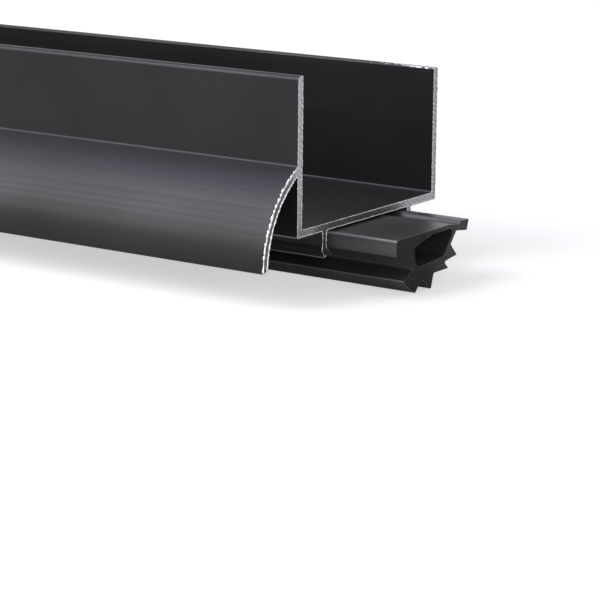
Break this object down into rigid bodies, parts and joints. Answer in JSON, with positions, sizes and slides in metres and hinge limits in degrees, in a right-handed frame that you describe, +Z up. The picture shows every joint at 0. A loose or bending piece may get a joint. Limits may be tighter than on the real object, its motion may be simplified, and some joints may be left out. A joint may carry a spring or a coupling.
{
  "type": "door shoe",
  "caption": "Aluminium channel for the bottom edge of a door, with a curved drip cap and a hollow toothed vinyl seal that slides in from the end.",
  "frame": {"origin": "middle of the web's top face, half way along the shoe, where the door's bottom edge rests", "axes": "+X along the shoe towards the end the seal slides out of, +Y from the outside face to the room side, +Z up"},
  "size_m": [0.9291, 0.0594, 0.0415],
  "materials": {
    "shoe_channel": "dark bronze-black satin anodised, with bare sawn ends",
    "vinyl_insert": "black flexible vinyl, soft sheen"
  },
  "bodies": {
    "shoe": {"shoe_channel": "shoe_channel"},
    "seal": {"vinyl_insert": "vinyl_insert"}
  },
  "joints": [
    {"name": "insert_slide", "type": "slide", "parent": "shoe", "child": "seal", "axis": [1, 0, 0], "range_m": [-0.0147, 0.85]}
  ]
}
